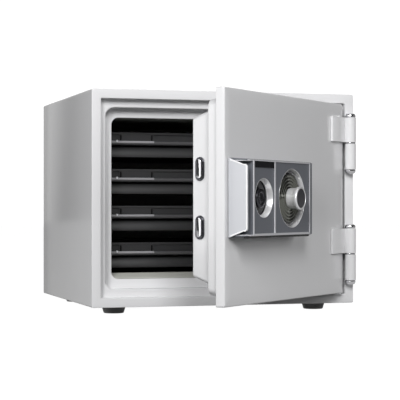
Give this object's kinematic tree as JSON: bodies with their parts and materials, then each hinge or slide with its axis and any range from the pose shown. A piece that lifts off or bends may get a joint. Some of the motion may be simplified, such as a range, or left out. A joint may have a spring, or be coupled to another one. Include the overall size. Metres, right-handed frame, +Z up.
{
  "type": "fireproof document box",
  "caption": "Small insulated fire-resistant cabinet with a stepped plug door on side hinges, a key lock, a combination dial, a pull handle and sliding document trays.",
  "frame": {"origin": "on the floor that the feet stand on, under the middle of the whole object's plan with the door standing open", "axes": "+X right and +Y back as seen from the front of the cabinet, +Z up; the door's hinges are on the right"},
  "size_m": [0.48, 0.7776, 0.3875],
  "materials": {
    "paint": "light grey semi-gloss enamel with a fine even texture",
    "liner": "dark moulded inner liner, dull",
    "fill": "light insulating concrete, rough, all of it hidden",
    "chrome": "polished chrome plating",
    "silver": "satin silver trim",
    "steel": "plain steel",
    "brass": "turned brass",
    "lock_plastic": "dark blue-grey moulded plastic, satin",
    "dial_face": "black glossy dial face",
    "tray": "near-black moulded plastic, fine grain",
    "grip": "dark grey moulded plastic, satin",
    "seal": "grey heat seal strip",
    "rubber": "dark grey rubber, dull"
  },
  "bodies": {
    "cabinet": {"outer_shell": "paint", "front_frame": "paint", "insulation_fill": "fill", "inner_liner": "liner", "bolt_keeper": "steel", "foot_front_left": "rubber", "foot_front_right": "rubber", "foot_back_left": "rubber", "foot_back_right": "rubber", "tray_rack_left": "steel", "tray_rack_right": "steel", "hinge_upper_body_knuckle": "paint", "hinge_upper_pin": "chrome", "hinge_upper_washer": "chrome", "hinge_lower_body_knuckle": "paint", "hinge_lower_pin": "chrome", "hinge_lower_washer": "chrome"},
    "door": {"door_skin": "paint", "door_fill": "fill", "plug_shell": "paint", "plug_fill": "fill", "door_inner_cover": "paint", "door_seal": "seal", "bolt_bezel_upper": "chrome", "bolt_bezel_lower": "chrome", "hinge_upper_door_leaf": "paint", "hinge_upper_cap": "chrome", "hinge_lower_door_leaf": "paint", "hinge_lower_cap": "chrome", "lock_housing": "lock_plastic", "lock_fascia": "lock_plastic", "lock_frame": "silver", "key_bezel": "chrome", "dial_bezel": "chrome", "key_cylinder": "chrome", "handle_pin": "steel"},
    "bolt_work": {"lock_bolt_upper": "chrome", "lock_bolt_lower": "chrome", "bolt_bar": "steel"},
    "handle": {"pull_handle": "paint"},
    "key": {"key_plug": "brass", "key_cam": "steel"},
    "dial": {"dial_ring": "dial_face", "dial_knob": "chrome", "dial_spindle": "brass"},
    "wheel_1": {"combination_wheel_1": "brass"},
    "wheel_2": {"combination_wheel_2": "brass"},
    "wheel_3": {"combination_wheel_3": "brass"},
    "tray_1": {"tray_1": "tray", "tray_1_grip": "grip", "tray_1_label_holder": "grip"},
    "tray_2": {"tray_2": "tray", "tray_2_grip": "grip", "tray_2_label_holder": "grip"},
    "tray_3": {"tray_3": "tray", "tray_3_grip": "grip", "tray_3_label_holder": "grip"},
    "tray_4": {"tray_4": "tray", "tray_4_grip": "grip", "tray_4_label_holder": "grip"}
  },
  "joints": [
    {"name": "door_swing", "type": "hinge", "parent": "cabinet", "child": "door", "pos_m": [0.23, -0.06648, 0.2005], "axis": [0, 0, 1], "range_deg": [-43.6, 136.4]},
    {"name": "handle_pull", "type": "hinge", "parent": "door", "child": "handle", "pos_m": [-0.08679, -0.36388, 0.1995], "axis": [0, 0, 1], "range_deg": [0, 12]},
    {"name": "bolt_throw", "type": "slide", "parent": "door", "child": "bolt_work", "axis": [-0.7242, -0.6896, 0], "range_m": [0, 0.012]},
    {"name": "key_turn", "type": "hinge", "parent": "door", "child": "key", "pos_m": [-0.03867, -0.34263, 0.1995], "axis": [0.6896, -0.7242, 0], "range_deg": [0, 90]},
    {"name": "dial_spin", "type": "hinge", "parent": "door", "child": "dial", "pos_m": [0.03339, -0.27401, 0.1995], "axis": [0.6896, -0.7242, 0], "continuous": true},
    {"name": "wheel_1_spin", "type": "hinge", "parent": "door", "child": "wheel_1", "pos_m": [-0.01213, -0.22622, 0.1995], "axis": [0.6896, -0.7242, 0], "continuous": true},
    {"name": "wheel_2_spin", "type": "hinge", "parent": "door", "child": "wheel_2", "pos_m": [-0.01627, -0.22187, 0.1995], "axis": [0.6896, -0.7242, 0], "continuous": true},
    {"name": "wheel_3_spin", "type": "hinge", "parent": "door", "child": "wheel_3", "pos_m": [-0.0204, -0.21753, 0.1995], "axis": [0.6896, -0.7242, 0], "continuous": true},
    {"name": "tray_1_slide", "type": "slide", "parent": "cabinet", "child": "tray_1", "axis": [0, -1, 0], "range_m": [0, 0.052]},
    {"name": "tray_2_slide", "type": "slide", "parent": "cabinet", "child": "tray_2", "axis": [0, -1, 0], "range_m": [0, 0.052]},
    {"name": "tray_3_slide", "type": "slide", "parent": "cabinet", "child": "tray_3", "axis": [0, -1, 0], "range_m": [0, 0.052]},
    {"name": "tray_4_slide", "type": "slide", "parent": "cabinet", "child": "tray_4", "axis": [0, -1, 0], "range_m": [0, 0.052]}
  ],
  "couplings": [
    {"joint": "handle_pull", "follows": "bolt_throw", "rad_per_m": 17.453},
    {"joint": "wheel_1_spin", "follows": "dial_spin", "ratio": 1},
    {"joint": "wheel_2_spin", "follows": "dial_spin", "ratio": 1},
    {"joint": "wheel_3_spin", "follows": "dial_spin", "ratio": 1}
  ]
}
